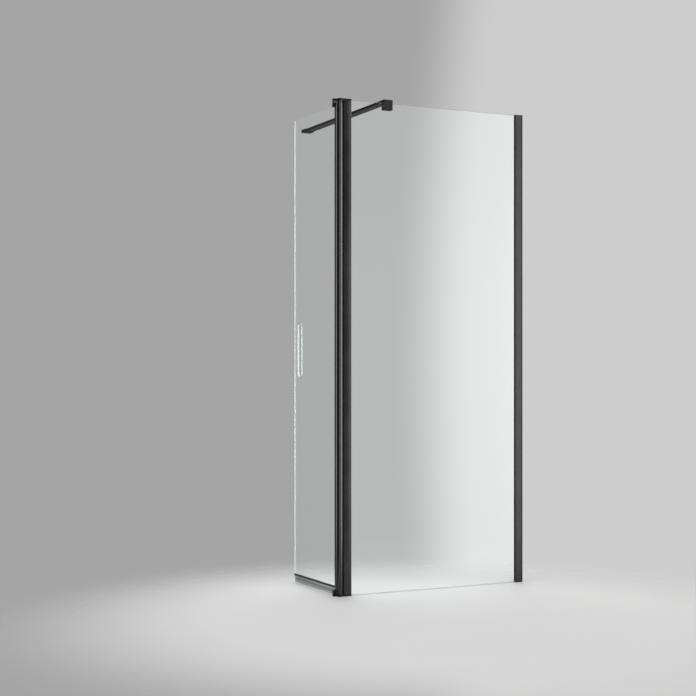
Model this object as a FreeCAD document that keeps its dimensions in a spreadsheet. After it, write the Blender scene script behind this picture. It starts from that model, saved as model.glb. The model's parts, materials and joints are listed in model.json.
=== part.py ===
import FreeCAD, Part
import math
import os
import Sketcher

# Walk-in shower screen: a fixed glass panel between a wall profile and a post, a narrower glass
# panel that swings about the post, and a support bar to the back wall.
# Frame: +Z up, origin on the side wall at the foot of the screen, in the middle of the fixed glass.
# -X runs along the fixed glass away from the side wall, +Y runs into the shower to the back wall.
# The swing panel is drawn at its inward stop, square to the fixed glass.

sizes = {
    # overall
    "screen_height": 2000,
    "post_reach": 856,
    "pivot_gap": 13,
    "swing_reach": 430,
    "wall_run": 775,
    "bar_offset": 201,
    # glass
    "glass_thickness": 8,
    "glass_end_gap": 4,
    "glass_edge_gap": 1.4,
    "glass_arris": 0.6,
    "corner_round": 0.6,
    "edge_bevel": 0.4,
    "swing_glass_foot": 34,
    "swing_glass_drop": 23,
    # wall channel, wall profile and post
    "profile_depth": 16,
    "profile_wall": 1.6,
    "pocket_depth": 14,
    "channel_length": 20.5,
    "channel_show": 8,
    "channel_end_gap": 0.5,
    "slide_clearance": 0.2,
    "wall_top_drop": 2,
    "wall_cap_thickness": 2,
    "wall_cap_plug": 8,
    "plug_clearance": 0.2,
    "post_width": 34.5,
    "post_bow": 0.9,
    "post_web": 7,
    "port_radius": 1.6,
    "port_spread": 6.8,
    "gasket_hold": 10,
    "gasket_lip": 0.8,
    # screws through the wall channel and the lock screws
    "wall_hole_radius": 2.75,
    "wall_hole_inset": 100,
    "lock_screw_inset": 250,
    "lock_screw_radius": 2,
    "lock_head_radius": 3.6,
    "lock_head_height": 2,
    "lock_screw_bite": 0.8,
    "screw_clearance": 0.2,
    "thread_clearance": 0.02,
    "hex_socket_radius": 1.5,
    "hex_socket_depth": 1.2,
    # hinge plates and pivots
    "plate_thickness": 7,
    "plate_round": 11,
    "plate_boss": 2,
    "plate_elbow": 12,
    "plate_screw_bite": 16,
    "plate_head_radius": 3,
    "plate_head_height": 2.2,
    "pivot_radius": 4,
    "pivot_seat": 5,
    "collar_radius": 8.5,
    "pivot_clearance": 0.05,
    "bush_length": 30,
    "washer_thickness": 1.5,
    "washer_radius": 9,
    "running_gap": 0.3,
    "lift_gap": 9,
    "detent_width": 18,
    # swing profile and its end caps
    "nose_radius": 10,
    "bush_radius": 6.5,
    "neck_width": 17,
    "shoulder_reach": 11,
    "shoulder_slope": 2,
    "mouth_reach": 24,
    "pocket_reach": 10,
    "channel_width": 26,
    "end_cap_thickness": 1.5,
    "end_cap_plug": 12,
    "lug_reach": 23,
    "lug_near": 10,
    "lug_far": 25,
    "lug_height": 15,
    "lug_screw_radius": 2.6,
    "lug_screw_length": 7,
    "rest_block_gap": 0.2,
    # wiper between post and nose
    "wiper_groove": 0.8,
    "wiper_width": 6,
    "wiper_tip": 2,
    # seal under the swing glass
    "seal_start": 34,
    "seal_clip_start": 26,
    "seal_clip_wall": 1.6,
    "seal_clip_grip": 2.5,
    "seal_clip_web": 2.5,
    "seal_foot": 0.5,
    "seal_lip_length": 15,
    "seal_lip_thickness": 2.4,
    "seal_tube_width": 10,
    "seal_tube_wall": 1.2,
    "seal_tube_slope": 4,
    # finger pull
    "pull_inset": 50,
    "pull_height": 992,
    "pull_width": 40,
    "pull_length": 230,
    # support bar, its glass clamp and its wall bracket
    "bar_width": 40,
    "bar_height": 10,
    "bar_wall": 1.5,
    "bar_fall": 12.5,
    "bar_edge": 0.8,
    "socket_clearance": 0.15,
    "clamp_rise": 14,
    "clamp_height": 42,
    "clamp_depth": 26,
    "clamp_slot_gap": 1,
    "clamp_edge": 0.8,
    "tongue_length": 24,
    "tongue_screw_radius": 2,
    "tongue_screw_place": 12,
    "tongue_screw_bite": 4,
    "pad_thickness": 1.5,
    "pad_margin": 2,
    "clamp_screw_radius": 3,
    "clamp_screw_spread": 22,
    "clamp_screw_height": 12,
    "grub_inset": 0.4,
    "bracket_side": 2,
    "bracket_cover": 2.5,
    "bracket_depth": 40,
    "bracket_back": 4,
    "bracket_hole_radius": 2.5,
    "bracket_screw_radius": 2,
    "bracket_screw_place": 20,
}
wall_hole_count = 4
lock_screw_count = 3
hexagon_sides = 6
tolerance = 0.001

doc = FreeCAD.newDocument("ShowerScreen")
sheet = doc.addObject("Spreadsheet::Sheet", "Sizes")
for row, (name, size) in enumerate(sizes.items(), 1):
    sheet.set("A%d" % row, name)
    sheet.set("B%d" % row, str(size))
    sheet.setAlias("B%d" % row, name)
doc.recompute()
subparts = []


class Term:
    # A length together with the sheet formula that gives it, so that a drawing follows the sheet.
    def __init__(self, number, text):
        self.number = number
        self.text = text

    def __add__(self, other):
        other = term(other)
        return Term(self.number + other.number, "(%s + %s)" % (self.text, other.text))

    def __sub__(self, other):
        other = term(other)
        return Term(self.number - other.number, "(%s - %s)" % (self.text, other.text))

    def __mul__(self, other):
        other = term(other)
        return Term(self.number * other.number, "(%s * %s)" % (self.text, other.text))

    def __truediv__(self, other):
        other = term(other)
        return Term(self.number / other.number, "(%s / %s)" % (self.text, other.text))

    def __neg__(self):
        return Term(-self.number, "(0 - %s)" % self.text)

    def __radd__(self, other):
        return term(other) + self

    def __rsub__(self, other):
        return term(other) - self


def term(item):
    return item if isinstance(item, Term) else Term(float(item), repr(float(item)))


def other_leg(hypotenuse, leg):
    square = hypotenuse * hypotenuse - leg * leg
    return Term(math.sqrt(square.number), "sqrt(%s)" % square.text)


class Sizes:
    # The cells of the sheet by name.
    def __getattr__(self, name):
        return Term(float(sheet.get(name)), "Sizes." + name)


s = Sizes()
zero = term(0)


class Bend:
    # Marks that the next stretch of an outline is an arc about this centre.
    def __init__(self, x, y, clockwise=False):
        self.centre = (term(x), term(y))
        self.clockwise = clockwise


def bind(item, path, length):
    item.setExpression(path, term(length).text)


def place(item, x=0, y=0, z=0):
    for axis, length in zip("xyz", (x, y, z)):
        bind(item, "Placement.Base." + axis, length)


def sub_part(item, label):
    item.Label = label
    subparts.append(item)
    return item


def new_body(label, x=0, y=0, z=0):
    body = doc.addObject("PartDesign::Body", label)
    place(body, x, y, z)
    return sub_part(body, label)


def new_sketch(body, role, level=0):
    sketch = body.newObject("Sketcher::SketchObject", "Sketch")
    plane = [item for item in body.Origin.OriginFeatures if item.Role == role][0]
    sketch.AttachmentSupport = (plane, [""])
    sketch.MapMode = "FlatFace"
    bind(sketch, "AttachmentOffset.Base.z", level)
    return sketch


def vector(point):
    return FreeCAD.Vector(point[0].number, point[1].number, 0)


def fix(sketch, kind, geometry, end, length):
    index = sketch.addConstraint(Sketcher.Constraint(kind, -1, 1, geometry, end, length.number))
    bind(sketch, "Constraints[%d]" % index, length)


def rectangle(left, low, right, high):
    return [(left, low), (right, low), (right, high), (left, high)]


def slot(x, y, width, length):
    # An upright slot with full round ends about a middle point.
    half = width / 2
    top = y + length / 2 - half
    foot = y - length / 2 + half
    return [(x + half, foot), (x + half, top), Bend(x, top), (x - half, top), (x - half, foot), Bend(x, foot)]


def draw_outline(sketch, path):
    corners = []
    bends = {}
    for item in path:
        if isinstance(item, Bend):
            bends[len(corners) - 1] = item
        else:
            corners.append((term(item[0]), term(item[1])))
    count = len(corners)
    pieces = []
    for index, corner in enumerate(corners):
        follower = corners[(index + 1) % count]
        bend = bends.get(index)
        if bend is None:
            geometry = sketch.addGeometry(Part.LineSegment(vector(corner), vector(follower)))
            pieces.append((geometry, 1, 2))
            continue
        ends = (follower, corner) if bend.clockwise else (corner, follower)
        centre = vector(bend.centre)
        radius = (vector(corner) - centre).Length
        angles = [math.atan2(*reversed((vector(end) - centre)[:2])) for end in ends]
        circle = Part.Circle(centre, FreeCAD.Vector(0, 0, 1), radius)
        geometry = sketch.addGeometry(Part.ArcOfCircle(circle, *angles))
        pieces.append((geometry, 2, 1) if bend.clockwise else (geometry, 1, 2))
    for index, (geometry, start, end) in enumerate(pieces):
        after, after_start, _ = pieces[(index + 1) % count]
        sketch.addConstraint(Sketcher.Constraint("Coincident", geometry, end, after, after_start))
        fix(sketch, "DistanceX", geometry, start, corners[index][0])
        fix(sketch, "DistanceY", geometry, start, corners[index][1])
        if index in bends:
            chord = vector(corners[(index + 1) % count]) - vector(corners[index])
            wide = abs(chord.x) >= abs(chord.y)
            fix(sketch, "DistanceY" if wide else "DistanceX", geometry, 3, bends[index].centre[1 if wide else 0])


def draw_circle(sketch, x, y, radius):
    x, y, radius = term(x), term(y), term(radius)
    circle = Part.Circle(vector((x, y)), FreeCAD.Vector(0, 0, 1), radius.number)
    geometry = sketch.addGeometry(circle)
    fix(sketch, "DistanceX", geometry, 3, x)
    fix(sketch, "DistanceY", geometry, 3, y)
    index = sketch.addConstraint(Sketcher.Constraint("Radius", geometry, radius.number))
    bind(sketch, "Constraints[%d]" % index, radius)


def draw(body, role, outlines=(), circles=(), level=0):
    sketch = new_sketch(body, role, level)
    for path in outlines:
        draw_outline(sketch, path)
    for circle in circles:
        draw_circle(sketch, *circle)
    return sketch


def pad(body, sketch, length, back=False, both=False):
    feature = body.newObject("PartDesign::Pad", "Pad")
    feature.Profile = sketch
    feature.Reversed = back
    feature.SideType = "Symmetric" if both else "One side"
    bind(feature, "Length", length)
    doc.recompute()
    return feature


def pocket(body, sketch, depth=None, back=False, both=False):
    # Without a depth the cut goes right through.
    before = body.Shape.Volume
    feature = body.newObject("PartDesign::Pocket", "Pocket")
    feature.Profile = sketch
    feature.Reversed = back
    feature.SideType = "Symmetric" if both else "One side"
    if depth is None:
        feature.Type = "ThroughAll"
    else:
        bind(feature, "Length", depth)
    doc.recompute()
    if body.Shape.Volume >= before:
        raise ValueError("%s: a cut removed nothing" % body.Label)
    return feature


def bevel(body, base, names, size):
    feature = body.newObject("PartDesign::Chamfer", "Chamfer")
    feature.Base = (base, names)
    bind(feature, "Size", size)
    doc.recompute()
    return feature


def faces_across(feature, axis, level=None):
    # Names of the flat faces of a feature that lie square to an axis, all or those at one level.
    names = []
    for index, face in enumerate(feature.Shape.Faces, 1):
        across = isinstance(face.Surface, Part.Plane) and abs(face.Surface.Axis.dot(axis)) > 0.99
        if across and (level is None or abs(face.CenterOfMass.dot(axis) - level.number) < tolerance):
            names.append("Face%d" % index)
    return names


def round_over(body, base, names, radius):
    feature = body.newObject("PartDesign::Fillet", "Fillet")
    feature.Base = (base, names)
    bind(feature, "Radius", radius)
    doc.recompute()
    return feature


def round_corners(body, base, corners):
    # Rounds the upright edges that stand on some corners of an outline.
    names = []
    for index, edge in enumerate(base.Shape.Edges, 1):
        ends = [vertex.Point for vertex in edge.Vertexes]
        if len(ends) < 2 or abs(ends[0].z - ends[1].z) < edge.Length - tolerance:
            continue
        for corner in corners:
            if math.hypot(ends[0].x - corner[0].number, ends[0].y - corner[1].number) < tolerance:
                names.append("Edge%d" % index)
    return round_over(body, base, names, s.corner_round)


def extrusion(label, x, y, z, outlines, length, circles=(), rounded=()):
    # An upright piece of one section, drawn about (x, y) from the level z.
    body = new_body(label, x, y, z)
    feature = pad(body, draw(body, "XY_Plane", outlines, circles), length)
    if rounded:
        round_corners(body, feature, rounded)
    return body


def cylinder(radius, height, z=0):
    item = doc.addObject("Part::Cylinder", "Cylinder")
    bind(item, "Radius", radius)
    bind(item, "Height", height)
    place(item, 0, 0, z)
    return item


def joined(kind, base, tool):
    item = doc.addObject(kind, "Joined")
    item.Base = base
    item.Tool = tool
    return item


def hex_socket(screw, top):
    # Cuts a hexagonal key socket down from the top of a screw that stands on Z.
    prism = doc.addObject("Part::Prism", "Socket")
    prism.Polygon = hexagon_sides
    bind(prism, "Circumradius", s.hex_socket_radius)
    bind(prism, "Height", s.hex_socket_depth)
    place(prism, 0, 0, term(top) - s.hex_socket_depth)
    return joined("Part::Cut", screw, prism)


def headed_screw(radius, length, head_radius, head_height):
    # The seat of the head is at z 0 and the shank runs down.
    shank = cylinder(radius, length, -term(length))
    head = cylinder(head_radius, head_height)
    return hex_socket(joined("Part::Fuse", head, shank), head_height)


def grub_screw(radius, length):
    # The socket end is at z 0 and the screw runs down.
    return hex_socket(cylinder(radius, length, -term(length)), zero)


def turned(item, rotation, x, y, z):
    item.Placement = FreeCAD.Placement(FreeCAD.Vector(), rotation)
    place(item, x, y, z)
    return item


def group(label, items):
    compound = doc.addObject("Part::Compound", label)
    compound.Links = items
    return sub_part(compound, label)


def block(x, y, z, length, width, height):
    item = doc.addObject("Part::Box", "Block")
    bind(item, "Length", length)
    bind(item, "Width", width)
    bind(item, "Height", height)
    place(item, x, y, z)
    return item


x_axis = FreeCAD.Vector(1, 0, 0)
y_axis = FreeCAD.Vector(0, 1, 0)
z_axis = FreeCAD.Vector(0, 0, 1)
upright = FreeCAD.Rotation()
upside_down = FreeCAD.Rotation(x_axis, 180)
out_of_back = FreeCAD.Rotation(x_axis, -90)
out_of_front = FreeCAD.Rotation(x_axis, 90)

# places that several pieces share
half_glass = s.glass_thickness / 2
half_depth = s.profile_depth / 2
inner_half = half_depth - s.profile_wall
gasket = inner_half - half_glass
plate_half = half_depth + s.post_bow
post_x = -s.post_reach
pivot_x = post_x - s.pivot_gap
bar_x = post_x + s.bar_offset
glass_top = s.screen_height - s.glass_end_gap
post_length = s.screen_height - s.plate_thickness * 2
swing_foot = s.plate_thickness + s.washer_thickness + s.running_gap
swing_top = s.screen_height - s.plate_thickness - s.plate_boss - s.lift_gap
swing_glass_top = s.screen_height - s.swing_glass_drop
bar_z = glass_top + s.clamp_rise - s.bar_height / 2


# wall channel, wall profile and what belongs to them
wall_length = s.screen_height - s.wall_top_drop - s.wall_cap_thickness
channel_half = inner_half - s.slide_clearance
channel_inner = channel_half - s.profile_wall
web_right = -(s.channel_length + s.channel_end_gap)
web_left = web_right - s.profile_wall
wall_mouth = web_left - s.pocket_depth
lock_x = -(s.channel_show + s.channel_length) / 2
lock_pitch = (wall_length - s.lock_screw_inset * 2) / (lock_screw_count - 1)
lock_levels = [s.lock_screw_inset + lock_pitch * index for index in range(lock_screw_count)]


def make_wall_channel():
    section = [
        (zero, -channel_half),
        (zero, channel_half),
        (-s.channel_length, channel_half),
        (-s.channel_length, channel_inner),
        (-s.profile_wall, channel_inner),
        (-s.profile_wall, -channel_inner),
        (-s.channel_length, -channel_inner),
        (-s.channel_length, -channel_half),
    ]
    body = extrusion("wall_channel", 0, 0, 0, [section], wall_length)
    pitch = (s.screen_height - s.wall_hole_inset * 2) / (wall_hole_count - 1)
    holes = [(zero, s.wall_hole_inset + pitch * index, s.wall_hole_radius) for index in range(wall_hole_count)]
    pocket(body, draw(body, "YZ_Plane", circles=holes), both=True)
    threads = [(lock_x, level, s.lock_screw_radius + s.thread_clearance) for level in lock_levels]
    pocket(body, draw(body, "XZ_Plane", circles=threads))


def make_wall_profile():
    section = [
        (-s.channel_show, -half_depth),
        (-s.channel_show, -inner_half),
        (web_right, -inner_half),
        (web_right, inner_half),
        (-s.channel_show, inner_half),
        (-s.channel_show, half_depth),
        (wall_mouth, half_depth),
        (wall_mouth, inner_half),
        (web_left, inner_half),
        (web_left, -inner_half),
        (wall_mouth, -inner_half),
        (wall_mouth, -half_depth),
    ]
    corners = rectangle(wall_mouth, -half_depth, -s.channel_show, half_depth)
    body = extrusion("wall_profile", 0, 0, 0, [section], wall_length, rounded=corners)
    holes = [(lock_x, level, s.lock_screw_radius + s.screw_clearance) for level in lock_levels]
    pocket(body, draw(body, "XZ_Plane", circles=holes))


def make_wall_profile_cap():
    body = new_body("wall_profile_cap", 0, 0, wall_length)
    cover = rectangle(wall_mouth, -half_depth, zero, half_depth)
    lid = pad(body, draw(body, "XY_Plane", [cover]), s.wall_cap_thickness)
    bevel(body, lid, faces_across(lid, z_axis, s.wall_cap_thickness), s.edge_bevel)
    half = channel_inner - s.plug_clearance
    plug = rectangle(-s.channel_length, -half, -(s.profile_wall + s.plug_clearance), half)
    pad(body, draw(body, "XY_Plane", [plug]), s.wall_cap_plug, back=True)


def make_lock_screws():
    length = half_depth - channel_inner + s.lock_screw_bite
    screws = []
    for level in lock_levels:
        screw = headed_screw(s.lock_screw_radius, length, s.lock_head_radius, s.lock_head_height)
        screws.append(turned(screw, out_of_back, lock_x, half_depth, level))
    group("lock_screws", screws)


def make_gasket_pair(first, second, x, z, inside, lip, length):
    # Two strips between the glass faces and the walls of a pocket, with a soft edge at the lip.
    low, high = sorted((inside, lip), key=lambda reach: reach.number)
    for label, near, far in ((first, -inner_half, -half_glass), (second, half_glass, inner_half)):
        strip = rectangle(low, near, high, far)
        extrusion(label, x, 0, z, [strip], length, rounded=[(lip, near), (lip, far)])


def make_wall_gaskets():
    lip = wall_mouth - s.gasket_lip
    inside = wall_mouth + s.gasket_hold
    length = glass_top - s.glass_end_gap
    make_gasket_pair("wall_gasket_front", "wall_gasket_back", zero, s.glass_end_gap, inside, lip, length)


# fixed glass and its post
pocket_floor = s.post_width - s.pocket_depth
chamber_end = pocket_floor - s.post_web
port_x = chamber_end + s.post_web / 2
half_spread = s.port_spread / 2


def make_fixed_glass():
    left = post_x + pocket_floor + s.glass_edge_gap
    right = web_left - s.glass_edge_gap
    body = new_body("fixed_glass", 0, 0, s.glass_end_gap)
    sketch = draw(body, "XY_Plane", [rectangle(left, -half_glass, right, half_glass)])
    sheet_glass = pad(body, sketch, glass_top - s.glass_end_gap)
    bevel(body, sheet_glass, faces_across(sheet_glass, y_axis), s.glass_arris)


def make_sill_seal():
    section = rectangle(post_x + s.post_width, -half_glass, wall_mouth, half_glass)
    extrusion("sill_seal", 0, 0, 0, [section], s.glass_end_gap)


def make_post_profile():
    half_wiper = s.wiper_width / 2
    half_width = s.post_width / 2
    bow_radius = (half_width * half_width + s.post_bow * s.post_bow) / (s.post_bow * 2)
    section = [
        (zero, -half_depth),
        Bend(half_width, bow_radius - plate_half),
        (s.post_width, -half_depth),
        (s.post_width, -inner_half),
        (pocket_floor, -inner_half),
        (pocket_floor, inner_half),
        (s.post_width, inner_half),
        (s.post_width, half_depth),
        Bend(half_width, plate_half - bow_radius),
        (zero, half_depth),
        (zero, half_wiper),
        (s.wiper_groove, half_wiper),
        (s.wiper_groove, -half_wiper),
        (zero, -half_wiper),
    ]
    chamber_start = s.wiper_groove + s.profile_wall
    chamber = rectangle(chamber_start, -inner_half, chamber_end, inner_half)
    ports = [(port_x, half_spread, s.port_radius), (port_x, -half_spread, s.port_radius)]
    corners = rectangle(zero, -half_depth, s.post_width, half_depth)
    extrusion("post_profile", post_x, 0, s.plate_thickness, [section, chamber], post_length, ports, corners)


def make_post_gaskets():
    inside = s.post_width - s.gasket_hold
    lip = s.post_width + s.gasket_lip
    make_gasket_pair(
        "post_gasket_front", "post_gasket_back", post_x, s.plate_thickness, inside, lip, post_length
    )


def make_post_wiper_seal():
    half_base = s.wiper_width / 2
    half_tip = s.wiper_tip / 2
    tip = -(s.pivot_gap - s.nose_radius - s.running_gap)
    section = [
        (s.wiper_groove, -half_base),
        (s.wiper_groove, half_base),
        (zero, half_base),
        (tip, half_tip),
        (tip, -half_tip),
        (zero, -half_base),
    ]
    extrusion("post_wiper_seal", post_x, 0, s.plate_thickness, [section], post_length - s.plate_boss)


# hinge plates, pivots and their bearings, drawn about the pivot axis
lug_front = (-s.lug_reach, s.lug_near)
lug_back = (-s.lug_reach, s.lug_far)
arm_start = (-other_leg(s.plate_round, s.lug_near), s.lug_near)
round_end = (other_leg(s.plate_round, plate_half), -plate_half)
plate_elbow = (s.plate_elbow, plate_half)
arm_back = (s.plate_elbow - s.lug_far + plate_half, s.lug_far)
plate_screw_x = s.pivot_gap + port_x


def make_hinge_plate(label, level, upper):
    # The plate lies on the post's end: its inner face is at the given level.
    body = new_body(label, pivot_x, 0, level)
    plate_end = s.pivot_gap + s.post_width
    cover = [
        (plate_end, -plate_half),
        (plate_end, plate_half),
        plate_elbow,
        arm_back,
        lug_back,
        lug_front,
        arm_start,
        Bend(zero, zero),
        round_end,
    ]
    plate = pad(body, draw(body, "XY_Plane", [cover]), s.plate_thickness, back=not upper)
    bore_start = zero
    if upper:
        elbow_under_post = (s.pivot_gap - s.running_gap, plate_half)
        boss = [
            (elbow_under_post[0], -plate_half),
            elbow_under_post,
            plate_elbow,
            arm_back,
            lug_back,
            lug_front,
            arm_start,
            Bend(zero, zero),
            round_end,
        ]
        plate = pad(body, draw(body, "XY_Plane", [boss]), s.plate_boss, back=True)
        bore_start = -s.plate_boss
    outer = s.plate_thickness if upper else -s.plate_thickness
    plate = round_corners(body, plate, cover[:2] + [arm_back, lug_back, lug_front])
    bevel(body, plate, faces_across(plate, z_axis, outer), s.edge_bevel)
    bore = draw(body, "XY_Plane", circles=[(zero, zero, s.pivot_radius + s.thread_clearance)], level=bore_start)
    pocket(body, bore, s.pivot_seat - bore_start, back=upper)
    recess_start = s.pivot_gap + pocket_floor
    half_recess = half_glass + s.screw_clearance
    recess = [rectangle(recess_start, -half_recess, plate_end, half_recess)]
    recess_depth = s.plate_thickness - s.glass_end_gap + s.glass_edge_gap
    pocket(body, draw(body, "XY_Plane", recess), recess_depth, back=upper)
    sides = (half_spread, -half_spread)
    holes = [(plate_screw_x, side, s.port_radius + s.screw_clearance) for side in sides]
    pocket(body, draw(body, "XY_Plane", circles=holes), s.plate_thickness, back=upper)
    heads = [(plate_screw_x, side, s.plate_head_radius + s.screw_clearance) for side in sides]
    sinks = draw(body, "XY_Plane", circles=heads, level=outer)
    pocket(body, sinks, s.plate_head_height + s.screw_clearance, back=not upper)


def make_plate_screws(label, level, rotation):
    screws = []
    radius = s.port_radius - s.thread_clearance
    length = s.plate_screw_bite + s.plate_thickness - s.plate_head_height - s.screw_clearance
    for side in (half_spread, -half_spread):
        screw = headed_screw(radius, length, s.plate_head_radius, s.plate_head_height)
        screws.append(turned(screw, rotation, pivot_x + plate_screw_x, side, level))
    group(label, screws)


def make_hinge_plates():
    upper_level = s.screen_height - s.plate_thickness
    make_hinge_plate("upper_hinge_plate", upper_level, True)
    make_hinge_plate("lower_hinge_plate", s.plate_thickness, False)
    sink = s.plate_head_height + s.screw_clearance
    make_plate_screws("upper_plate_screws", s.screen_height - sink, upright)
    make_plate_screws("lower_plate_screws", sink, upside_down)


def make_pivot_pins():
    # The collar of the upper pin fills the room that the panel has above it.
    upper_end = s.screen_height - s.plate_thickness + s.pivot_seat
    upper_start = swing_top - s.bush_length
    lower_start = s.plate_thickness - s.pivot_seat
    lower_end = swing_foot + s.bush_length
    shank = [(zero, zero, s.pivot_radius)]
    upper = extrusion("upper_pivot_pin", pivot_x, 0, upper_start, [], upper_end - upper_start, shank)
    collar_level = swing_top + s.running_gap - upper_start
    collar = draw(upper, "XY_Plane", circles=[(zero, zero, s.collar_radius)], level=collar_level)
    pad(upper, collar, s.lift_gap - s.running_gap)
    extrusion("lower_pivot_pin", pivot_x, 0, lower_start, [], lower_end - lower_start, shank)


def make_thrust_washer():
    inner = s.pivot_radius + s.screw_clearance
    rings = [(zero, zero, s.washer_radius), (zero, zero, inner)]
    extrusion("thrust_washer", pivot_x, 0, s.plate_thickness, [], s.washer_thickness, rings)


def make_bushes():
    rings = [
        (zero, zero, s.bush_radius - s.thread_clearance),
        (zero, zero, s.pivot_radius + s.pivot_clearance),
    ]
    for label, start in (("upper_bush", swing_top - s.bush_length), ("lower_bush", swing_foot)):
        extrusion(label, pivot_x, 0, start, [], s.bush_length, rings)


def make_detent_block():
    margin = s.rest_block_gap
    left = -s.lug_reach + margin
    section = rectangle(left, s.lug_near + margin, left + s.detent_width, s.lug_far - margin)
    start = swing_top + s.running_gap
    extrusion("detent_block", pivot_x, 0, start, [section], s.lift_gap - s.running_gap)


# swing profile, end caps and swing glass, drawn about the pivot axis
half_neck = s.neck_width / 2
half_channel = s.channel_width / 2
pocket_half = half_glass + gasket
nose_height = other_leg(s.nose_radius, half_neck)
chamber_near = pocket_half + s.profile_wall
chamber_far = half_channel - s.profile_wall
shoulder_end = s.shoulder_reach + s.shoulder_slope
chamber_low = shoulder_end + s.profile_wall
chamber_high = s.mouth_reach - s.profile_wall
glass_start = s.pocket_reach + s.glass_edge_gap
body_foot = swing_foot + s.end_cap_thickness
body_top = swing_top - s.end_cap_thickness
nose = [(-half_neck, nose_height), Bend(zero, zero), (half_neck, nose_height)]


def make_swing_profile():
    section = nose + [
        (half_neck, s.shoulder_reach),
        (half_channel, shoulder_end),
        (half_channel, s.mouth_reach),
        (pocket_half, s.mouth_reach),
        (pocket_half, s.pocket_reach),
        (-pocket_half, s.pocket_reach),
        (-pocket_half, s.mouth_reach),
        (-half_channel, s.mouth_reach),
        (-half_channel, shoulder_end),
        (-half_neck, s.shoulder_reach),
    ]
    left = rectangle(-chamber_far, chamber_low, -chamber_near, chamber_high)
    right = rectangle(chamber_near, chamber_low, chamber_far, chamber_high)
    bore = (zero, zero, s.bush_radius)
    corners = rectangle(-half_channel, shoulder_end, half_channel, s.mouth_reach)
    length = body_top - body_foot
    extrusion("swing_profile", pivot_x, 0, body_foot, [section, left, right], length, [bore], corners)


def make_end_cap(label, level, upper):
    # The cap lies on the profile's end: its inner face is at the given level.
    body = new_body(label, pivot_x, 0, level)
    cover = nose + [
        (half_neck, s.shoulder_reach),
        (half_channel, shoulder_end),
        (half_channel, s.mouth_reach),
        (-half_channel, s.mouth_reach),
        (-half_channel, s.lug_far),
        lug_back,
        lug_front,
        (-half_neck, s.lug_near),
    ]
    bore = (zero, zero, s.bush_radius + s.thread_clearance)
    pad(body, draw(body, "XY_Plane", [cover], [bore]), s.end_cap_thickness, back=not upper)
    lug = rectangle(-s.lug_reach, s.lug_near, -half_channel, s.lug_far)
    lug_pad = pad(body, draw(body, "XY_Plane", [lug]), s.lug_height - s.end_cap_thickness, back=upper)
    round_corners(body, lug_pad, [lug_back, lug_front, (half_channel, s.mouth_reach)])
    gap = s.plug_clearance
    near, far = chamber_near + gap, chamber_far - gap
    low, high = chamber_low + gap, chamber_high - gap
    plugs = [rectangle(near, low, far, high), rectangle(-far, low, -near, high)]
    pad(body, draw(body, "XY_Plane", plugs), s.end_cap_plug, back=upper)
    screw_level = (s.lug_height - s.end_cap_thickness) / 2
    screw_hole = (lug_screw_x, -screw_level if upper else screw_level, s.lug_screw_radius + s.thread_clearance)
    hole = draw(body, "XZ_Plane", circles=[screw_hole], level=-s.lug_near)
    pocket(body, hole, s.lug_screw_length + s.thread_clearance)


lug_screw_x = -(s.lug_reach + half_channel) / 2


def make_end_caps():
    make_end_cap("upper_end_cap", body_top, True)
    make_end_cap("lower_end_cap", body_foot, False)
    rise = (s.lug_height - s.end_cap_thickness) / 2
    screws = []
    for level in (body_top - rise, body_foot + rise):
        screw = grub_screw(s.lug_screw_radius, s.lug_screw_length)
        screws.append(turned(screw, out_of_front, pivot_x + lug_screw_x, s.lug_near, level))
    group("lug_screws", screws)


def make_swing_glass():
    body = new_body("swing_glass", pivot_x, 0, 0)
    pane = rectangle(glass_start, s.swing_glass_foot, s.swing_reach, swing_glass_top)
    cut_out = slot(s.swing_reach - s.pull_inset, s.pull_height, s.pull_width, s.pull_length)
    sketch = draw(body, "YZ_Plane", [pane, cut_out])
    sheet_glass = pad(body, sketch, s.glass_thickness, both=True)
    bevel(body, sheet_glass, faces_across(sheet_glass, x_axis), s.glass_arris)


def make_swing_gaskets():
    low = s.mouth_reach - s.gasket_hold
    high = s.mouth_reach + s.gasket_lip
    length = swing_glass_top - s.swing_glass_foot
    sides = (("swing_gasket_left", -pocket_half, -half_glass), ("swing_gasket_right", half_glass, pocket_half))
    for label, near, far in sides:
        strip = rectangle(near, low, far, high)
        lip = [(near, high), (far, high)]
        extrusion(label, pivot_x, 0, s.swing_glass_foot, [strip], length, rounded=lip)


def make_glass_rest_block():
    half = pocket_half - s.rest_block_gap
    section = rectangle(-half, s.pocket_reach + s.rest_block_gap, half, s.mouth_reach)
    extrusion("glass_rest_block", pivot_x, 0, body_foot, [section], s.swing_glass_foot - body_foot)


# seal under the swing glass
seal_top = s.swing_glass_foot - s.seal_clip_web
lip_top = s.seal_foot + s.seal_lip_length
slope_top = lip_top + s.seal_tube_slope


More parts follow.
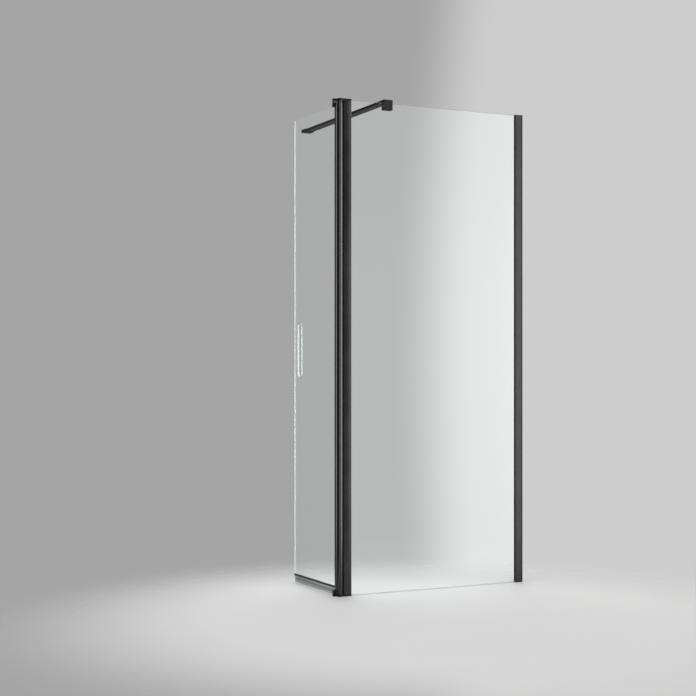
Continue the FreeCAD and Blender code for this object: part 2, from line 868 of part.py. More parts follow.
def make_bottom_seal():
    clip_half = half_glass + s.seal_clip_wall
    grip = s.swing_glass_foot + s.seal_clip_grip
    clip_section = [
        (-clip_half, seal_top),
        (clip_half, seal_top),
        (clip_half, grip),
        (half_glass, grip),
        (half_glass, s.swing_glass_foot),
        (-half_glass, s.swing_glass_foot),
        (-half_glass, grip),
        (-clip_half, grip),
    ]
    clip = new_body("bottom_seal_clip", pivot_x, s.seal_clip_start, 0)
    pad(clip, draw(clip, "XZ_Plane", [clip_section]), s.swing_reach - s.seal_clip_start, back=True)
    half_tube = s.seal_tube_width / 2
    half_lip = s.seal_lip_thickness / 2
    half_hollow = half_tube - s.seal_tube_wall
    fin_section = [
        (-half_tube, seal_top),
        (-half_tube, slope_top),
        (-half_lip, lip_top),
        (-half_lip, s.seal_foot),
        (half_lip, s.seal_foot),
        (half_lip, lip_top),
        (half_tube, slope_top),
        (half_tube, seal_top),
    ]
    hollow_section = [
        (-half_hollow, seal_top - s.seal_tube_wall),
        (-half_hollow, slope_top + s.seal_tube_wall),
        (zero, lip_top + s.seal_tube_wall),
        (half_hollow, slope_top + s.seal_tube_wall),
        (half_hollow, seal_top - s.seal_tube_wall),
    ]
    fin = new_body("bottom_seal_fin", pivot_x, s.seal_start, 0)
    sketch = draw(fin, "XZ_Plane", [fin_section, hollow_section])
    pad(fin, sketch, s.swing_reach - s.seal_start, back=True)


# support bar, its clamp on the glass edge and its bracket on the back wall
half_bar = s.bar_height / 2
half_clamp = s.clamp_depth / 2
slot_half = half_glass + s.pad_thickness
clamp_foot = s.clamp_rise - s.clamp_height
clamp_screw_z = clamp_foot + s.clamp_screw_height
half_clamp_spread = s.clamp_screw_spread / 2
bar_length = s.wall_run - s.bracket_back - half_clamp
bar_slope = s.bar_fall / bar_length
tongue_drop = s.tongue_screw_place * bar_slope
tongue_screw_depth = s.bar_wall + s.socket_clearance + s.tongue_screw_bite


def sloped(start, length, middle, half):
    # A side view of a strip that falls as the bar does, about a middle level at its start.
    end = start + length
    far = middle - length * bar_slope
    return [(start, middle - half), (end, far - half), (end, far + half), (start, middle + half)]


def make_support_bar():
    body = new_body("support_bar", bar_x, half_clamp, bar_z)
    bar = pad(body, draw(body, "YZ_Plane", [sloped(zero, bar_length, zero, half_bar)]), s.bar_width, both=True)
    edges = enumerate(bar.Shape.Edges, 1)
    long_edges = ["Edge%d" % index for index, edge in edges if edge.Length > bar_length.number - tolerance]
    round_over(body, bar, long_edges, s.bar_edge)
    hollow = sloped(zero, bar_length, zero, half_bar - s.bar_wall)
    pocket(body, draw(body, "YZ_Plane", [hollow]), s.bar_width - s.bar_wall * 2, both=True)
    screw_hole = (zero, s.tongue_screw_place, s.tongue_screw_radius + s.screw_clearance)
    pocket(body, draw(body, "XY_Plane", circles=[screw_hole]))


def make_bar_clamp():
    body = new_body("bar_clamp", bar_x, 0, glass_top)
    profile = rectangle(-half_clamp, clamp_foot, half_clamp, s.clamp_rise)
    solid = pad(body, draw(body, "YZ_Plane", [profile]), s.bar_width, both=True)
    bevel(body, solid, faces_across(solid, y_axis), s.clamp_edge)
    glass_slot = rectangle(-slot_half, clamp_foot, slot_half, s.clamp_slot_gap)
    pocket(body, draw(body, "YZ_Plane", [glass_slot]), both=True)
    radius = s.clamp_screw_radius + s.thread_clearance
    holes = [(side, clamp_screw_z, radius) for side in (-half_clamp_spread, half_clamp_spread)]
    pocket(body, draw(body, "XZ_Plane", circles=holes))
    tongue_gap = s.bar_wall + s.socket_clearance
    tongue = sloped(half_clamp, s.tongue_length, s.clamp_rise - half_bar, half_bar - tongue_gap)
    pad(body, draw(body, "YZ_Plane", [tongue]), s.bar_width - tongue_gap * 2, both=True)
    screw_hole = (zero, half_clamp + s.tongue_screw_place, s.tongue_screw_radius + s.thread_clearance)
    level = s.clamp_rise - s.bar_height - tongue_drop
    pocket(body, draw(body, "XY_Plane", circles=[screw_hole], level=level), tongue_screw_depth, back=True)


def make_bar_clamp_pads():
    pads = []
    pad_length = s.bar_width - s.pad_margin * 2
    height = s.clamp_slot_gap - clamp_foot - s.pad_margin * 2
    foot = glass_top + clamp_foot + s.pad_margin
    for start in (-slot_half, half_glass):
        pads.append(block(bar_x - pad_length / 2, start, foot, pad_length, s.pad_thickness, height))
    group("bar_clamp_pads", pads)


def make_bar_screws():
    screws = []
    for side in (-half_clamp_spread, half_clamp_spread):
        screw = grub_screw(s.clamp_screw_radius, half_clamp - slot_half - s.grub_inset)
        level = glass_top + clamp_screw_z
        screws.append(turned(screw, out_of_back, bar_x + side, half_clamp - s.grub_inset, level))
    group("bar_clamp_screws", screws)
    screw = grub_screw(s.tongue_screw_radius, tongue_screw_depth - s.grub_inset - s.thread_clearance)
    screw_y = half_clamp + s.tongue_screw_place
    screw_z = bar_z - half_bar - tongue_drop + s.grub_inset
    sub_part(turned(screw, upside_down, bar_x, screw_y, screw_z), "bar_tongue_screw")


def make_bar_wall_bracket():
    bracket_z = bar_z - s.bar_fall
    body = new_body("bar_wall_bracket", bar_x, s.wall_run, bracket_z)
    half_width = s.bar_width / 2 + s.bracket_side
    half_height = half_bar + s.bracket_cover
    outline = rectangle(-half_width, -half_height, half_width, half_height)
    solid = pad(body, draw(body, "XZ_Plane", [outline]), s.bracket_depth)
    bevel(body, solid, faces_across(solid, x_axis), s.clamp_edge)
    reach = s.bracket_depth - s.bracket_back
    socket = sloped(-s.bracket_depth, reach, reach * bar_slope, half_bar + s.socket_clearance)
    pocket(body, draw(body, "YZ_Plane", [socket]), s.bar_width + s.socket_clearance * 2, both=True)
    pocket(body, draw(body, "XZ_Plane", circles=[(zero, zero, s.bracket_hole_radius)]), both=True)
    screw_hole = (zero, -s.bracket_screw_place, s.bracket_screw_radius + s.thread_clearance)
    pocket(body, draw(body, "XY_Plane", circles=[screw_hole]))
    bar_rise = (s.bracket_screw_place - s.bracket_back) * bar_slope
    length = s.bracket_cover + bar_rise - s.grub_inset - s.thread_clearance * 2
    screw = grub_screw(s.bracket_screw_radius, length)
    screw_y = s.wall_run - s.bracket_screw_place
    screw_z = bracket_z - half_height + s.grub_inset
    sub_part(turned(screw, upside_down, bar_x, screw_y, screw_z), "bar_bracket_screw")


make_wall_channel()
make_wall_profile()
make_wall_profile_cap()
make_lock_screws()
make_wall_gaskets()
make_fixed_glass()
make_sill_seal()
make_post_profile()
make_post_gaskets()
make_post_wiper_seal()
make_hinge_plates()
make_pivot_pins()
make_thrust_washer()
make_bushes()
make_detent_block()
make_swing_profile()
make_end_caps()
make_swing_glass()
make_swing_gaskets()
make_glass_rest_block()
make_bottom_seal()
make_support_bar()
make_bar_clamp()
make_bar_clamp_pads()
make_bar_screws()
make_bar_wall_bracket()
doc.recompute()

for item in doc.Objects:
    if "Invalid" in item.State or "Error" in item.State:
        raise ValueError("%s failed" % item.Label)
for item in subparts:
    if item.Shape.isNull() or not item.Shape.isValid():
        raise ValueError("%s has no valid shape" % item.Label)
os.makedirs("parts", exist_ok=True)
for item in subparts:
    item.Shape.exportStep(os.path.join("parts", item.Label + ".step"))
    box = item.Shape.BoundBox
    print(
        "%-20s %d solids %10.0f mm3  x %.1f %.1f  y %.1f %.1f  z %.1f %.1f"
        % (item.Label, len(item.Shape.Solids), item.Shape.Volume,
           box.XMin, box.XMax, box.YMin, box.YMax, box.ZMin, box.ZMax)
    )
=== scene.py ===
import json
import math
import bpy
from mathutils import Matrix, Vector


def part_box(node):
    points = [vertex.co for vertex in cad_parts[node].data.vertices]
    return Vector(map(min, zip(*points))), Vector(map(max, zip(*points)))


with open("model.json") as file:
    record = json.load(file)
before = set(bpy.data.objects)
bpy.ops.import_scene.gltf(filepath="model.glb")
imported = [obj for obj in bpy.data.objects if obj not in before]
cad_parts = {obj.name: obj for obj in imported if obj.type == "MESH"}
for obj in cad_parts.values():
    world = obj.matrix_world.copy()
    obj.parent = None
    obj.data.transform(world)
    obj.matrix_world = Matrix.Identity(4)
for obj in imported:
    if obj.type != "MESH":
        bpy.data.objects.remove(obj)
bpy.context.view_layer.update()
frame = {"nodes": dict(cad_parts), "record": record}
nodes = frame["nodes"]
print("loaded", len(nodes), "nodes")


# helpers for node trees
def addNode(tree, kind, **values):
    node = tree.nodes.new(kind)
    for name, value in values.items():
        if hasattr(node, name):
            setattr(node, name, value)
        else:
            node.inputs[name.replace("_", " ")].default_value = value
    return node


def join(tree, fromSocket, toSocket):
    tree.links.new(fromSocket, toSocket)


def feed(tree, term, socket):  # a socket is joined, a plain value is set
    if isinstance(term, bpy.types.NodeSocket):
        join(tree, term, socket)
    else:
        socket.default_value = term


def calc(tree, operation, *terms):
    node = addNode(tree, "ShaderNodeMath", operation=operation)
    for socket, term in zip(node.inputs, terms):
        feed(tree, term, socket)
    return node.outputs[0]


def mapRange(tree, value, low, high, toLow=0.0, toHigh=1.0, kind="LINEAR"):
    node = addNode(tree, "ShaderNodeMapRange", interpolation_type=kind)
    feed(tree, value, node.inputs["Value"])
    feed(tree, low, node.inputs["From Min"])
    feed(tree, high, node.inputs["From Max"])
    feed(tree, toLow, node.inputs["To Min"])
    feed(tree, toHigh, node.inputs["To Max"])
    return node.outputs["Result"]


def mixTones(tree, share, first, second):
    node = addNode(tree, "ShaderNodeMix", data_type="RGBA")
    feed(tree, share, node.inputs["Factor"])
    feed(tree, first, node.inputs["A"])
    feed(tree, second, node.inputs["B"])
    return node.outputs["Result"]


def objectPlace(tree):
    return tree.nodes.new("ShaderNodeTexCoord").outputs["Object"]


def noise(tree, place, scale, detail, roughness=0.5):
    node = addNode(tree, "ShaderNodeTexNoise", Detail=detail, Roughness=roughness)
    join(tree, place, node.inputs["Vector"])
    feed(tree, scale, node.inputs["Scale"])
    return node.outputs["Fac"]


def newMaterial(name):
    material = bpy.data.materials.new(name)
    material.use_nodes = True
    tree = material.node_tree
    tree.nodes.clear()
    out = tree.nodes.new("ShaderNodeOutputMaterial")
    shader = tree.nodes.new("ShaderNodeBsdfPrincipled")
    join(tree, shader.outputs["BSDF"], out.inputs["Surface"])
    return material, tree, shader, out


def mixWithClear(tree, shader, out, share, **tint):  # see-through by the given share
    clear = addNode(tree, "ShaderNodeBsdfTransparent", **tint)
    mix = tree.nodes.new("ShaderNodeMixShader")
    join(tree, share, mix.inputs["Fac"])
    join(tree, shader.outputs["BSDF"], mix.inputs[1])
    join(tree, clear.outputs["BSDF"], mix.inputs[2])
    join(tree, mix.outputs["Shader"], out.inputs["Surface"])


def bump(tree, shader, height, strength, distance):
    node = addNode(tree, "ShaderNodeBump", Strength=strength, Distance=distance)
    join(tree, height, node.inputs["Height"])
    join(tree, node.outputs["Normal"], shader.inputs["Normal"])
    return node


def newGroup(name, inputs, outputs):
    group = bpy.data.node_groups.new(name, "ShaderNodeTree")
    for label, kind, value in inputs:
        socket = group.interface.new_socket(label, in_out="INPUT", socket_type=kind)
        socket.default_value = value
    for label, kind in outputs:
        group.interface.new_socket(label, in_out="OUTPUT", socket_type=kind)
    source = group.nodes.new("NodeGroupInput")
    sink = group.nodes.new("NodeGroupOutput")
    return group, source.outputs, sink.inputs


def placeGroup(tree, group, **values):
    node = tree.nodes.new("ShaderNodeGroup")
    node.node_tree = group
    for name, value in values.items():
        node.inputs[name.replace("_", " ")].default_value = value
    return node


# grain of a powder coat or a moulded skin, with slow clouds of tone and gloss under it
grainSetup = dict(detail=3.0, roughness=0.6, cloudScale=9.0, cloudDetail=2.0, grainShare=0.6,
                  low=0.5, high=1.1)


def makeGrainGroup():
    group, source, sink = newGroup(
        "fineGrain",
        [("Grain Size", "NodeSocketFloat", 900.0), ("Dark", "NodeSocketColor", (0.01, 0.01, 0.01, 1)),
         ("Light", "NodeSocketColor", (0.02, 0.02, 0.02, 1)), ("Smooth", "NodeSocketFloat", 0.35),
         ("Rough", "NodeSocketFloat", 0.5)],
        [("Color", "NodeSocketColor"), ("Roughness", "NodeSocketFloat"), ("Height", "NodeSocketFloat")],
    )
    place = objectPlace(group)
    grain = noise(group, place, source["Grain Size"], grainSetup["detail"], grainSetup["roughness"])
    clouds = noise(group, place, grainSetup["cloudScale"], grainSetup["cloudDetail"])
    blend = calc(group, "MULTIPLY_ADD", grain, grainSetup["grainShare"], clouds)
    join(group, mixTones(group, clouds, source["Dark"], source["Light"]), sink["Color"])
    gloss = mapRange(group, blend, grainSetup["low"], grainSetup["high"], source["Smooth"], source["Rough"])
    join(group, gloss, sink["Roughness"])
    join(group, grain, sink["Height"])
    return group


# long fine lines that a die or a brush leaves along a piece
lineSetup = dict(scale=1.0, detail=4.0, roughness=0.65, low=0.3, high=0.7)


def makeDrawLineGroup():
    group, source, sink = newGroup(
        "drawLines",
        [("Stretch", "NodeSocketVector", (600.0, 600.0, 3.0)), ("Low", "NodeSocketFloat", 0.0),
         ("High", "NodeSocketFloat", 1.0)],
        [("Mask", "NodeSocketFloat"), ("Height", "NodeSocketFloat")],
    )
    stretched = addNode(group, "ShaderNodeVectorMath", operation="MULTIPLY")
    join(group, objectPlace(group), stretched.inputs[0])
    join(group, source["Stretch"], stretched.inputs[1])
    lines = noise(group, stretched.outputs["Vector"], lineSetup["scale"], lineSetup["detail"],
                  lineSetup["roughness"])
    mask = mapRange(group, lines, lineSetup["low"], lineSetup["high"], source["Low"], source["High"])
    join(group, mask, sink["Mask"])
    join(group, lines, sink["Height"])
    return group


# corners that are slightly round, and a little lighter in patches along them: partly rubbed wear, partly a
# painted highlight
cornerSetup = dict(samples=4, patchScale=45.0, patchDetail=3.0,
                   flat=0.99, turned=0.8)  # how far the rounded normal leaves the flat one


def makeSoftEdgeGroup():
    group, source, sink = newGroup(
        "softEdges",
        [("Radius", "NodeSocketFloat", 0.0006), ("Base", "NodeSocketColor", (0.01, 0.01, 0.01, 1)),
         ("Rubbed", "NodeSocketColor", (0.03, 0.03, 0.03, 1))],
        [("Color", "NodeSocketColor"), ("Normal", "NodeSocketVector")],
    )
    rounded = addNode(group, "ShaderNodeBevel", samples=cornerSetup["samples"])
    surface = group.nodes.new("ShaderNodeNewGeometry")
    turn = addNode(group, "ShaderNodeVectorMath", operation="DOT_PRODUCT")
    join(group, source["Radius"], rounded.inputs["Radius"])
    join(group, rounded.outputs["Normal"], turn.inputs[0])
    join(group, surface.outputs["Normal"], turn.inputs[1])
    edge = mapRange(group, turn.outputs["Value"], cornerSetup["flat"], cornerSetup["turned"])
    patches = noise(group, objectPlace(group), cornerSetup["patchScale"], cornerSetup["patchDetail"])
    # the lighter tone at the corners is partly edge wear, partly a painted highlight
    share = calc(group, "MULTIPLY", edge, patches)
    join(group, mixTones(group, share, source["Base"], source["Rubbed"]), sink["Color"])
    join(group, rounded.outputs["Normal"], sink["Normal"])
    return group


fineGrain = makeGrainGroup()
drawLines = makeDrawLineGroup()
softEdges = makeSoftEdgeGroup()


def coatedMaterial(name, look):
    material, tree, shader, _ = newMaterial(name)
    grain = placeGroup(tree, fineGrain, Grain_Size=look["grain"], Dark=look["dark"], Light=look["light"],
                       Smooth=look["smooth"], Rough=look["rough"])
    corners = placeGroup(tree, softEdges, Radius=look["corner"], Rubbed=look["edgeWearAndHighlight"])
    join(tree, grain.outputs["Color"], corners.inputs["Base"])
    join(tree, corners.outputs["Color"], shader.inputs["Base Color"])
    join(tree, grain.outputs["Roughness"], shader.inputs["Roughness"])
    relief = bump(tree, shader, grain.outputs["Height"], look["bump"], look["depth"])
    join(tree, corners.outputs["Normal"], relief.inputs["Normal"])
    shader.inputs["Specular IOR Level"].default_value = look["specular"]
    return material


def linedMaterial(name, look):
    material, tree, shader, _ = newMaterial(name)
    lines = placeGroup(tree, drawLines, Stretch=look["stretch"], Low=look["smooth"], High=look["rough"])
    tone = placeGroup(tree, fineGrain, Grain_Size=look["grain"], Dark=look["dark"], Light=look["light"])
    join(tree, tone.outputs["Color"], shader.inputs["Base Color"])
    join(tree, lines.outputs["Mask"], shader.inputs["Roughness"])
    bump(tree, shader, lines.outputs["Height"], look["bump"], look["depth"])
    shader.inputs["Specular IOR Level"].default_value = look["specular"]
    shader.inputs["Metallic"].default_value = look.get("metallic", 0.0)
    return material


# satin black powder coat on the aluminium, and a duller one on the plates and the channel
# in each look, the corner tone is lighter than the coat: partly edge wear, partly a painted highlight
satinLook = dict(grain=1400.0, dark=(0.004, 0.004, 0.0042, 1), light=(0.008, 0.008, 0.0083, 1),
                 smooth=0.19, rough=0.29, bump=0.07, depth=0.0002, specular=0.55,
                 corner=0.0006, edgeWearAndHighlight=(0.03, 0.03, 0.031, 1))
mattLook = dict(grain=1400.0, dark=(0.004, 0.004, 0.0042, 1), light=(0.008, 0.008, 0.0083, 1),
                smooth=0.42, rough=0.55, bump=0.14, depth=0.0002, specular=0.18,
                corner=0.0005, edgeWearAndHighlight=(0.02, 0.02, 0.0205, 1))
# moulded caps, the grey block and the bearing bushes
mouldedLook = dict(grain=2600.0, dark=(0.004, 0.004, 0.004, 1), light=(0.008, 0.008, 0.008, 1),
                   smooth=0.38, rough=0.52, bump=0.2, depth=0.0002, specular=0.25,
                   corner=0.0005, edgeWearAndHighlight=(0.02, 0.02, 0.02, 1))
greyBlockLook = dict(grain=1800.0, dark=(0.10, 0.10, 0.104, 1), light=(0.14, 0.14, 0.145, 1),
                     smooth=0.4, rough=0.5, bump=0.1, depth=0.0002, specular=0.4,
                     corner=0.0004, edgeWearAndHighlight=(0.2, 0.2, 0.205, 1))
whiteBushLook = dict(grain=1800.0, dark=(0.68, 0.68, 0.66, 1), light=(0.78, 0.78, 0.76, 1),
                     smooth=0.35, rough=0.5, bump=0.08, depth=0.0002, specular=0.4,
                     corner=0.0003, edgeWearAndHighlight=(0.82, 0.82, 0.8, 1))
# rubber gaskets, plain screws and blackened pins
gasketLook = dict(stretch=(900.0, 900.0, 2.0), grain=700.0, dark=(0.002, 0.002, 0.002, 1),
                  light=(0.004, 0.004, 0.004, 1), smooth=0.65, rough=0.85, bump=0.15, depth=0.0003,
                  specular=0.05)
steelLook = dict(stretch=(300.0, 300.0, 2600.0), grain=300.0, dark=(0.26, 0.26, 0.26, 1),
                 light=(0.36, 0.36, 0.355, 1), smooth=0.3, rough=0.48, bump=0.08, depth=0.0002,
                 specular=0.5, metallic=1.0)
blackSteelLook = dict(stretch=(300.0, 300.0, 2600.0), grain=300.0, dark=(0.035, 0.035, 0.036, 1),
                      light=(0.06, 0.06, 0.06, 1), smooth=0.3, rough=0.48, bump=0.08, depth=0.0002,
                      specular=0.5, metallic=1.0)

satinBlack = coatedMaterial("satinBlackCoat", satinLook)
mattBlack = coatedMaterial("mattBlackCoat", mattLook)
mouldedBlack = coatedMaterial("mouldedBlack", mouldedLook)
greyBlock = coatedMaterial("greyAcetal", greyBlockLook)
whiteBush = coatedMaterial("whiteAcetal", whiteBushLook)
blackGasket = linedMaterial("blackGasket", gasketLook)
turnedSteel = linedMaterial("turnedSteel", steelLook)
blackSteel = linedMaterial("blackenedSteel", blackSteelLook)
print("coats, plastics and metals ready")

# clear toughened glass with a very slight wave, which throws only a light shadow
glassLook = dict(tint=(0.975, 0.99, 0.985, 1), transmission=1.0, ior=1.45,
                 waves=6.0, waveDetail=1.0, waveBump=0.004, waveDepth=0.002,
                 smears=3.0, smearDetail=5.0, smearFrom=0.5, smearTo=0.8, smooth=0.0, rough=0.003,
                 shadowTint=(0.93, 0.96, 0.95, 1))


def makeGlass():
    material, tree, shader, out = newMaterial("clearGlass")
    shader.inputs["Base Color"].default_value = glassLook["tint"]
    shader.inputs["Transmission Weight"].default_value = glassLook["transmission"]
    shader.inputs["IOR"].default_value = glassLook["ior"]
    place = objectPlace(tree)
    waves = noise(tree, place, glassLook["waves"], glassLook["waveDetail"])
    smears = noise(tree, place, glassLook["smears"], glassLook["smearDetail"])
    gloss = mapRange(tree, smears, glassLook["smearFrom"], glassLook["smearTo"],
                     glassLook["smooth"], glassLook["rough"])
    join(tree, gloss, shader.inputs["Roughness"])
    bump(tree, shader, waves, glassLook["waveBump"], glassLook["waveDepth"])
    path = tree.nodes.new("ShaderNodeLightPath")
    mixWithClear(tree, shader, out, path.outputs["Is Shadow Ray"], Color=glassLook["shadowTint"])
    return material


# ground edges of the panes, and their polished top edges
edgeLook = dict(stretch=(600.0, 600.0, 600.0), grain=1200.0, dark=(0.51, 0.55, 0.535, 1),
                light=(0.60, 0.635, 0.62, 1), smooth=0.25, rough=0.45, bump=0.05, depth=0.0002,
                specular=0.5)
topEdgeLook = dict(stretch=(600.0, 600.0, 600.0), grain=1200.0, dark=(0.38, 0.43, 0.41, 1),
                   light=(0.46, 0.50, 0.48, 1), smooth=0.12, rough=0.25, bump=0.03, depth=0.0002,
                   specular=0.5)
clearGlass = makeGlass()
glassEdge = linedMaterial("groundGlassEdge", edgeLook)
topEdge = linedMaterial("polishedTopEdge", topEdgeLook)


# soft extruded strips that let light through, one of them denser and thinner in bands from its foot to its
# top, partly for its thick bulb and thin lip, partly as painted highlight and painted shade
def bandDensity(tree, look):
    parts = tree.nodes.new("ShaderNodeSeparateXYZ")
    ramp = tree.nodes.new("ShaderNodeValToRGB")
    points = ramp.color_ramp.elements
    ends = len(points)  # a new ramp already has its two ends
    ramp.color_ramp.interpolation = "EASE"
    for index, (place, dense) in enumerate(look["bands"]):
        point = points[index] if index < ends else points.new(place)
        point.position = place
        point.color = (dense, dense, dense, 1)
    join(tree, objectPlace(tree), parts.inputs["Vector"])
    join(tree, mapRange(tree, parts.outputs["Z"], 0.0, look["height"]), ramp.inputs["Fac"])
    return ramp.outputs["Color"]


def stripMaterial(name, look):
    material, tree, shader, _ = newMaterial(name)
    lines = placeGroup(tree, drawLines, Stretch=look["stretch"], Low=look["thin"], High=look["dense"])
    tone = placeGroup(tree, fineGrain, Grain_Size=look["grain"], Dark=look["dark"], Light=look["light"],
                      Smooth=look["smooth"], Rough=look["rough"])
    join(tree, tone.outputs["Color"], shader.inputs["Base Color"])
    join(tree, tone.outputs["Roughness"], shader.inputs["Roughness"])
    bump(tree, shader, lines.outputs["Height"], look["bump"], look["depth"])
    density = lines.outputs["Mask"]
    if "bands" in look:
        density = calc(tree, "ADD", bandDensity(tree, look), density)
    join(tree, density, shader.inputs["Alpha"])
    return material


# the fin's bands of density are partly its bulb and thin lip, partly a painted highlight on the bulb and
# painted shade in its fold
smokeLook = dict(stretch=(700.0, 2.0, 700.0), thin=-0.04, dense=0.06, grain=500.0,
                 dark=(0.045, 0.05, 0.05, 1), light=(0.07, 0.075, 0.075, 1), smooth=0.25, rough=0.4,
                 bump=0.1, depth=0.0002,
                 height=0.0315,  # of the fin's top above the floor, which the bands divide
                 bands=[(0.0, 0.27), (1.0, 0.9),  # the two ends, then the points between them
                        (0.13, 0.33), (0.27, 0.45), (0.4, 0.56), (0.53, 0.55), (0.65, 0.3),
                        (0.8, 0.2), (0.86, 0.22), (0.93, 0.85)])
sillLook = dict(stretch=(2.0, 700.0, 700.0), thin=0.14, dense=0.22, grain=500.0,
                dark=(0.62, 0.66, 0.65, 1), light=(0.74, 0.78, 0.77, 1), smooth=0.2, rough=0.35,
                bump=0.1, depth=0.0002)
smokeFin = stripMaterial("smokeFin", smokeLook)
clearSill = stripMaterial("clearSill", sillLook)
print("glass and seals ready")

# which finish each node wears: by its slot, or its own
finishes = {
    "black_aluminium": satinBlack,
    "black_plastic": mouldedBlack,
    "black_rubber": blackGasket,
    "steel": turnedSteel,
    "black_steel": blackSteel,
    "grey_acetal": greyBlock,
    "white_acetal": whiteBush,
    "smoke_seal": smokeFin,
    "clear_seal": clearSill,
    "glass": clearGlass,
}
ownFinish = {
    "wall_channel": mattBlack,
    "upper_hinge_plate": mattBlack,
    "lower_hinge_plate": mattBlack,
    "thrust_washer": mouldedBlack,
    "lug_screws": blackSteel,
}
paneFaces = dict(axes={"fixed_glass": 1, "swing_glass": 0},  # that the large faces look along
                 facing=0.9, topMargin=0.005)

for subpart in frame["record"]["subparts"]:
    node = nodes[subpart["node"]]
    node.data.materials.clear()
    node.data.materials.append(ownFinish.get(subpart["node"], finishes[subpart["material_slot"]]))

for name, axis in paneFaces["axes"].items():
    pane = nodes[name].data
    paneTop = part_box(name)[1][2] - paneFaces["topMargin"]
    pane.materials.append(glassEdge)
    pane.materials.append(topEdge)
    for polygon in pane.polygons:
        if abs(polygon.normal[axis]) > paneFaces["facing"]:
            polygon.material_index = 0  # clear
        else:
            polygon.material_index = 2 if polygon.center.z > paneTop else 1  # top edge, other edges
print("finishes given out")

# pale floor that fades out into the backdrop
floorLook = dict(centre=(-0.75, -0.6), radius=4.0, sides=96, level=-0.0005, pale=(0.74, 0.74, 0.735, 1),
                 roughness=0.7, specular=0.2, fadeStart=0.75, fadeEnd=1.75)


def makeFloor():
    bpy.ops.mesh.primitive_circle_add(vertices=floorLook["sides"], radius=floorLook["radius"],
                                      fill_type="NGON",
                                      location=(*floorLook["centre"], floorLook["level"]))
    floor = bpy.context.object
    floor.name = "floor"
    material, tree, shader, out = newMaterial("paleFloor")
    shader.inputs["Base Color"].default_value = floorLook["pale"]
    shader.inputs["Roughness"].default_value = floorLook["roughness"]
    shader.inputs["Specular IOR Level"].default_value = floorLook["specular"]
    reach = addNode(tree, "ShaderNodeVectorMath", operation="LENGTH")
    join(tree, objectPlace(tree), reach.inputs[0])
    fade = mapRange(tree, reach.outputs["Value"], floorLook["fadeStart"], floorLook["fadeEnd"],
                    kind="SMOOTHSTEP")
    mixWithClear(tree, shader, out, fade)
    floor.data.materials.append(material)


# the world is the studio: a grey backdrop to look at, and soft cards for the light
studioLook = dict(backdropLeft=(0.376, 0.376, 0.376, 1), backdropRight=(0.61, 0.61, 0.61, 1),
                  sweepFrom=0.475, sweepTo=0.525,  # along X, where the grey goes from left to right
                  base=0.04,  # light from all around
                  paneLift=0.33,  # clean glass reads a little lighter than what is behind it
                  mirrorLevel=0.2)  # of the backdrop in reflections
lightCards = [  # azimuth from +X towards +Y, rise, and the angles between which a card fades, in degrees
    dict(name="rightKey", azimuth=330, rise=2, level=9.5, inner=6, outer=30),
    dict(name="frontSoft", azimuth=299, rise=-4, level=0.4, inner=4, outer=14),
    dict(name="rightSoft", azimuth=10, rise=20, level=1.2, inner=8, outer=40),
    dict(name="noseCard", azimuth=250, rise=1, level=4.9, inner=10, outer=22),
    dict(name="sideSoft", azimuth=215, rise=2, level=0.9, inner=5, outer=25),
    dict(name="frontSky", azimuth=215, rise=50, level=3.1, inner=8, outer=36),
    dict(name="backSky", azimuth=65, rise=40, level=2.5, inner=8, outer=38),
    dict(name="backLow", azimuth=63, rise=-10, level=0.12, inner=5, outer=25),
]


def cardGlow(tree, direction, card):
    azimuth, rise = math.radians(card["azimuth"]), math.radians(card["rise"])
    along = addNode(tree, "ShaderNodeVectorMath", operation="DOT_PRODUCT", label=card["name"])
    along.inputs[1].default_value = (math.cos(azimuth) * math.cos(rise),
                                     math.sin(azimuth) * math.cos(rise), math.sin(rise))
    join(tree, direction, along.inputs[0])
    return mapRange(tree, along.outputs["Value"], math.cos(math.radians(card["outer"])),
                    math.cos(math.radians(card["inner"])), toHigh=card["level"], kind="SMOOTHSTEP")


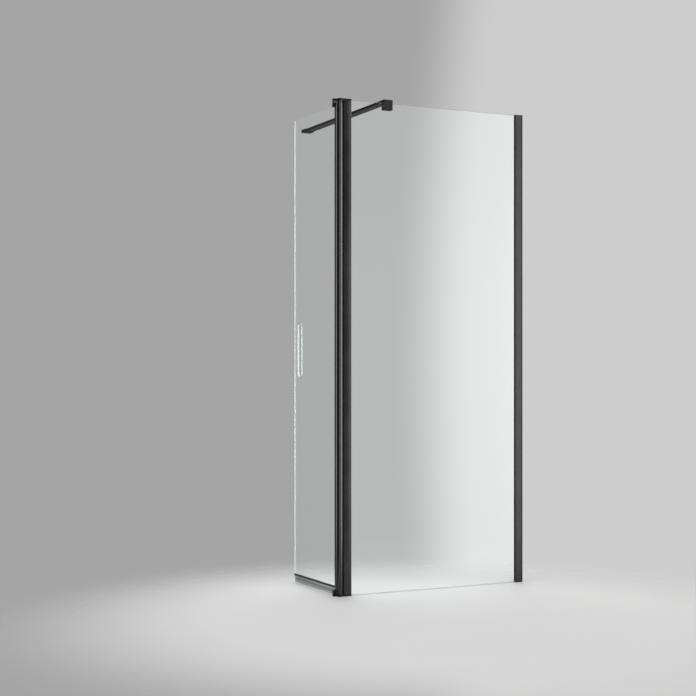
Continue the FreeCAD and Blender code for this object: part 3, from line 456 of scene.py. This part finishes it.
def makeWorld():
    world = bpy.data.worlds.new("studio")
    world.use_nodes = True
    bpy.context.scene.world = world
    tree = world.node_tree
    tree.nodes.clear()
    coords = tree.nodes.new("ShaderNodeTexCoord")
    turned = addNode(tree, "ShaderNodeVectorMath", operation="NORMALIZE")
    join(tree, coords.outputs["Generated"], turned.inputs[0])
    direction = turned.outputs["Vector"]
    cardLight = 0.0
    for card in lightCards:
        cardLight = calc(tree, "ADD", cardGlow(tree, direction, card), cardLight)
    parts = tree.nodes.new("ShaderNodeSeparateXYZ")
    join(tree, direction, parts.inputs["Vector"])
    sweep = mapRange(tree, parts.outputs["X"], studioLook["sweepFrom"], studioLook["sweepTo"],
                     kind="SMOOTHSTEP")
    # the eye, mirrors and panes see the backdrop, and all but the straight view see the cards
    path = tree.nodes.new("ShaderNodeLightPath").outputs
    camera, glossy, through = path["Is Camera Ray"], path["Is Glossy Ray"], path["Is Transmission Ray"]
    bounces = calc(tree, "ADD", path["Diffuse Depth"], path["Glossy Depth"])
    halfBounce = 0.5  # bounces are whole, so less than this is none
    straight = calc(tree, "LESS_THAN", bounces, halfBounce)
    throughPane = calc(tree, "MULTIPLY", straight, through)
    clearView = calc(tree, "MAXIMUM", camera, throughPane)
    seen = calc(tree, "MAXIMUM", camera, calc(tree, "MAXIMUM", glossy, through))
    # a ray through a pane counts as glossy too, so the lift first makes up for the dimming
    paneGain = studioLook["paneLift"] + 1.0 - studioLook["mirrorLevel"]
    lift = calc(tree, "MULTIPLY_ADD", throughPane, paneGain, 1.0)
    level = calc(tree, "MULTIPLY_ADD", glossy, studioLook["mirrorLevel"] - 1.0, lift)
    shown = calc(tree, "MULTIPLY", cardLight, calc(tree, "SUBTRACT", 1.0, clearView))
    backdrop = tree.nodes.new("ShaderNodeBackground")
    join(tree, mixTones(tree, sweep, studioLook["backdropLeft"], studioLook["backdropRight"]),
         backdrop.inputs["Color"])
    join(tree, level, backdrop.inputs["Strength"])
    cards = tree.nodes.new("ShaderNodeBackground")
    join(tree, shown, cards.inputs["Strength"])
    ambient = addNode(tree, "ShaderNodeBackground", Strength=studioLook["base"])
    surround = tree.nodes.new("ShaderNodeMixShader")
    both = tree.nodes.new("ShaderNodeAddShader")
    out = tree.nodes.new("ShaderNodeOutputWorld")
    join(tree, seen, surround.inputs["Fac"])
    join(tree, ambient.outputs["Background"], surround.inputs[1])
    join(tree, backdrop.outputs["Background"], surround.inputs[2])
    join(tree, surround.outputs["Shader"], both.inputs[0])
    join(tree, cards.outputs["Background"], both.inputs[1])
    join(tree, both.outputs["Shader"], out.inputs["Surface"])


# level camera, with the frame moved up a little instead of a tilt
cameraLook = dict(place=(-3.417, -5.144, 0.938), turn=26.67, sensor=36.0, lens=73.95, lift=0.0213)


def makeCamera():
    data = bpy.data.cameras.new("camera")
    data.sensor_width = cameraLook["sensor"]
    data.lens = cameraLook["lens"]
    data.shift_y = cameraLook["lift"]
    camera = bpy.data.objects.new("camera", data)
    camera.location = cameraLook["place"]
    camera.rotation_euler = (math.radians(90), 0, -math.radians(cameraLook["turn"]))
    bpy.context.scene.collection.objects.link(camera)
    bpy.context.scene.camera = camera


makeFloor()
makeWorld()
makeCamera()
bpy.context.scene.view_settings.view_transform = "Standard"
print("studio ready")
